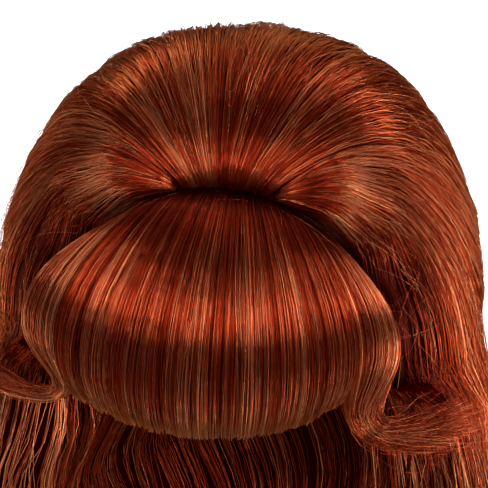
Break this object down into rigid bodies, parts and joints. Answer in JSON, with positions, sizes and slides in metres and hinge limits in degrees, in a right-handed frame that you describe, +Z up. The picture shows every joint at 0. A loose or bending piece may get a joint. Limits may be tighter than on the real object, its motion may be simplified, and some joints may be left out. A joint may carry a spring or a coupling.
{
  "type": "beehive wig",
  "caption": "Beehive wig: high combed mound over a rolled full fringe, front locks that flip out, long waved lengths, on an open cap.",
  "frame": {"origin": "inside of the cap at the crown of the head, where the wig sits on its wearer", "axes": "+Z up, -Y the way the face looks, +X to the wearer's left"},
  "size_m": [0.2964, 0.2479, 0.431],
  "materials": {
    "cap_net": "fine dark net, matt",
    "crown_hair": "combed synthetic hair, soft sheen",
    "sweep_hair": "combed synthetic hair, bright sheen",
    "fringe_hair": "smooth synthetic hair, glossy band",
    "length_hair": "waved synthetic hair, soft sheen"
  },
  "bodies": {
    "root": {"wig_cap": "cap_net", "crown_fan": "crown_hair", "sweep_right": "sweep_hair", "sweep_left": "sweep_hair", "fringe": "fringe_hair", "front_lock_right": "fringe_hair", "front_lock_left": "fringe_hair", "side_length_right": "length_hair", "side_length_left": "length_hair", "back_length": "length_hair"}
  },
  "joints": []
}
